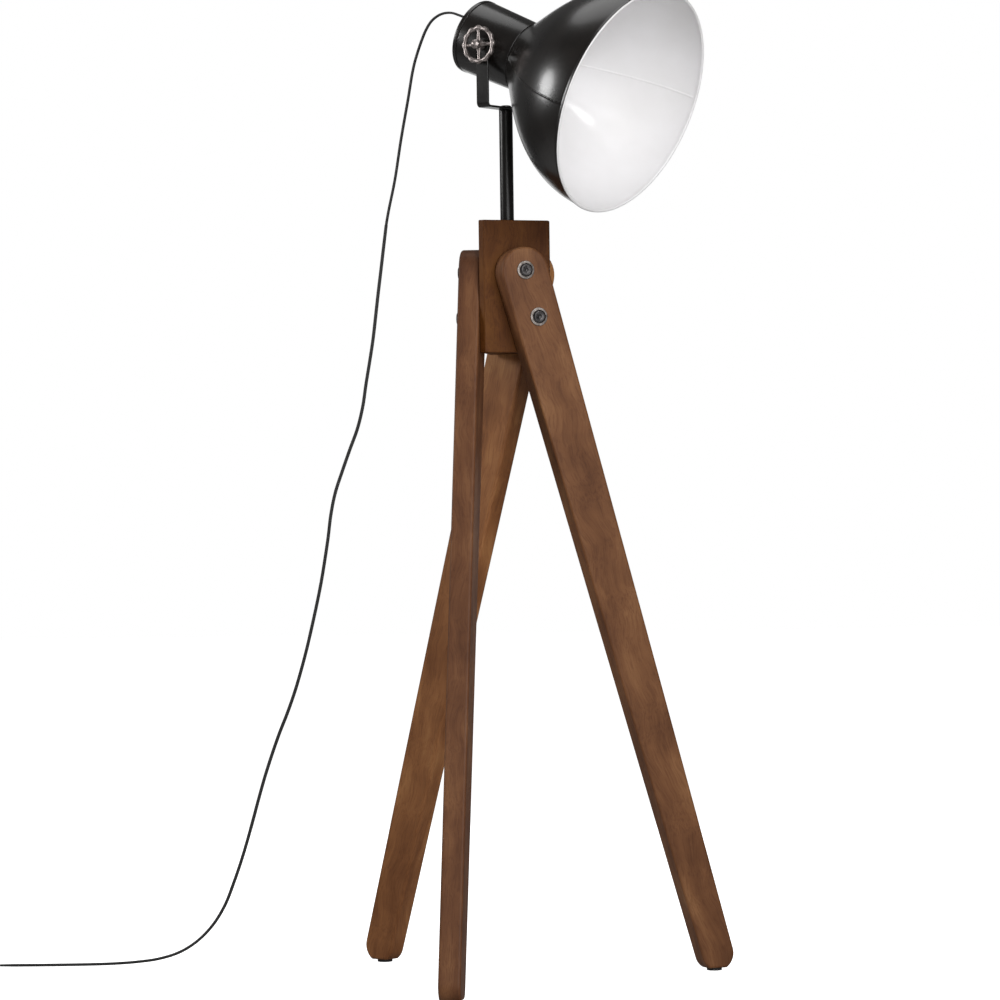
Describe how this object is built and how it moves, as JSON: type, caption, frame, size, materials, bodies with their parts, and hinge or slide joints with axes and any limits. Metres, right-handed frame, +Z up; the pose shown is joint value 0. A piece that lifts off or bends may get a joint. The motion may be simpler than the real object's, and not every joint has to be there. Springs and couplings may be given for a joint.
{
  "type": "adjustable floor lamp",
  "caption": "Wooden tripod floor lamp with a large bowl shade that tilts in a yoke between two wheel knobs and pans on a steel rod.",
  "frame": {"origin": "on the floor, under the middle of the lamp's box without its cord", "axes": "+Z up; the shade faces +X and -Y; seen from the front the viewer looks along +Y"},
  "size_m": [1.2632, 0.5894, 1.5112],
  "materials": {
    "stained_wood": "walnut-stained hardwood, satin",
    "black_paint": "gloss black paint with a slight brown cast; the bowl is white enamel inside",
    "zinc_steel": "zinc plated",
    "dark_steel": "blackened steel",
    "worn_steel": "blackened steel worn bright at the edge",
    "brass": "plain",
    "pewter": "antique pewter plated casting",
    "black_rubber": "matt",
    "black_phenolic": "phenolic moulding",
    "black_lead": "flat twin lead"
  },
  "bodies": {
    "stand": {"bolt_back_lower": "dark_steel", "bolt_back_upper": "dark_steel", "bolt_front_lower": "dark_steel", "bolt_front_upper": "dark_steel", "bolt_left_lower": "dark_steel", "bolt_left_upper": "dark_steel", "cord_coil": "black_lead", "cord_tie": "black_rubber", "cord_tube": "black_lead", "foot_pad_back": "black_rubber", "foot_pad_front": "black_rubber", "foot_pad_left": "black_rubber", "hub_block": "stained_wood", "hub_bolt": "dark_steel", "hub_washer": "zinc_steel", "insert_back_lower": "brass", "insert_back_upper": "brass", "insert_front_lower": "brass", "insert_front_upper": "brass", "insert_left_lower": "brass", "insert_left_upper": "brass", "leg_back": "stained_wood", "leg_front": "stained_wood", "leg_left": "stained_wood", "plug_body": "black_lead", "plug_pin_left": "zinc_steel", "plug_pin_right": "zinc_steel", "rod_bottom_nut": "zinc_steel", "rod_top_nut": "zinc_steel", "rod_tube": "black_paint", "washer_back_lower": "worn_steel", "washer_back_upper": "worn_steel", "washer_front_lower": "worn_steel", "washer_front_upper": "worn_steel", "washer_left_lower": "worn_steel", "washer_left_upper": "worn_steel"},
    "yoke": {"yoke_strap": "black_paint", "pan_screw": "dark_steel", "pan_washer": "zinc_steel", "fibre_washer_near": "black_rubber", "fibre_washer_far": "black_rubber"},
    "head": {"lamp_housing": "black_paint", "rear_cap": "black_paint", "cord_gland": "black_rubber", "shade_bowl": "black_paint", "lampholder": "black_phenolic", "screw_shell": "brass", "centre_contact": "brass", "holder_bracket": "zinc_steel", "tilt_stud_near": "zinc_steel", "tilt_stud_far": "zinc_steel", "stud_nut_near": "zinc_steel", "stud_nut_far": "zinc_steel"},
    "knob_near": {"knob_wheel_near": "pewter", "knob_nut_near": "dark_steel"},
    "knob_far": {"knob_wheel_far": "pewter", "knob_nut_far": "dark_steel"}
  },
  "joints": [
    {"name": "head_pan", "type": "hinge", "parent": "stand", "child": "yoke", "pos_m": [-0.04843, 0.03281, 1.338], "axis": [0, 0, 1], "range_deg": [-150, 150], "deforming": ["cord_tube"]},
    {"name": "head_tilt", "type": "hinge", "parent": "yoke", "child": "head", "pos_m": [-0.04843, 0.03281, 1.433], "axis": [0.5664, 0.8241, 0], "range_deg": [-57, 10], "deforming": ["cord_tube"]},
    {"name": "near_knob_turn", "type": "hinge", "parent": "yoke", "child": "knob_near", "pos_m": [-0.04843, 0.03281, 1.433], "axis": [-0.5664, -0.8241, 0], "range_deg": [-360, 360]},
    {"name": "far_knob_turn", "type": "hinge", "parent": "yoke", "child": "knob_far", "pos_m": [-0.04843, 0.03281, 1.433], "axis": [0.5664, 0.8241, 0], "range_deg": [-360, 360]}
  ]
}
